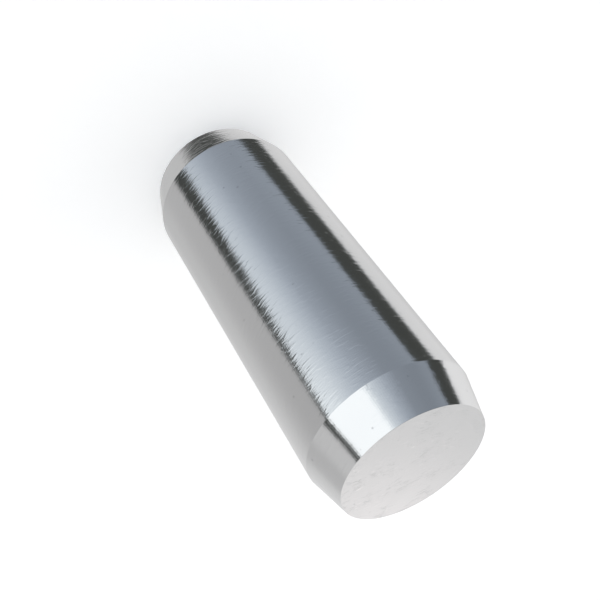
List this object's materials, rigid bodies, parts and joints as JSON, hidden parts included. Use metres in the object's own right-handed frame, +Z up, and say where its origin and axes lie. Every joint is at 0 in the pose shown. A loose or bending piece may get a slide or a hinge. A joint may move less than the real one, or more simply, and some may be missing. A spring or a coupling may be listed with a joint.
{
  "type": "dowel pin",
  "caption": "Plain steel dowel pin: a short solid cylinder with a shallow lead-in chamfer at each end, pressed into a hole to line two parts up.",
  "frame": {"origin": "centre of the lower end face, which the pin stands on", "axes": "+Z up the pin's axis, from the lower end face to the upper one; X and Y are any two directions across it, as the pin is round"},
  "size_m": [0.006, 0.006, 0.016],
  "materials": {
    "steel": "bright ground steel: fine grinding lines run round the wall and the chamfers, and the end faces are flat ground"
  },
  "bodies": {
    "root": {"pin": "steel"}
  },
  "joints": []
}
